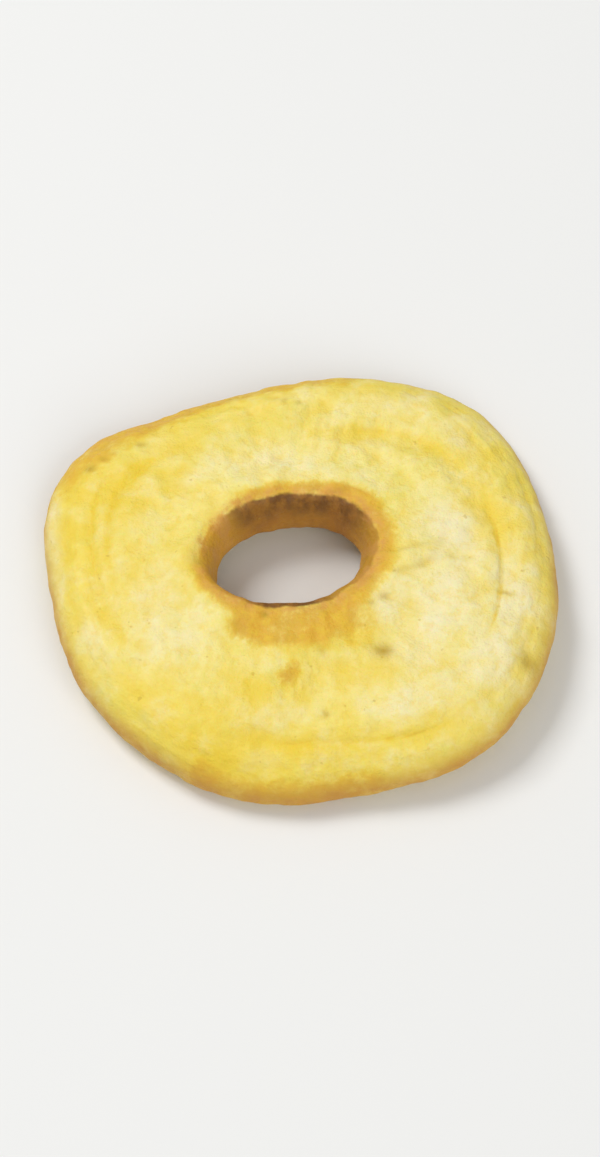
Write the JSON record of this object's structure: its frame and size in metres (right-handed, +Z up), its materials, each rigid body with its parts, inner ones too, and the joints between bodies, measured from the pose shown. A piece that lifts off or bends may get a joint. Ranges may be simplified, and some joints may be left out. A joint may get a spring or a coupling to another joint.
{
  "type": "dried apple ring",
  "caption": "Round dried slice of peeled apple with an off-centre cored hole, a plump rounded rim and fine wrinkles, lying flat as a snack or a garnish.",
  "frame": {"origin": "on the surface that the ring lies on, under the middle of its bounding box", "axes": "+Z up out of the upper cut face, +X along the longer side of the outline, -Y towards the viewer"},
  "size_m": [0.0544, 0.0502, 0.0088],
  "materials": {
    "apple_flesh": "soft leathery dried fruit flesh, cream on the face, yellow at the rim and amber round the cored hole"
  },
  "bodies": {
    "root": {"apple_ring": "apple_flesh"}
  },
  "joints": []
}
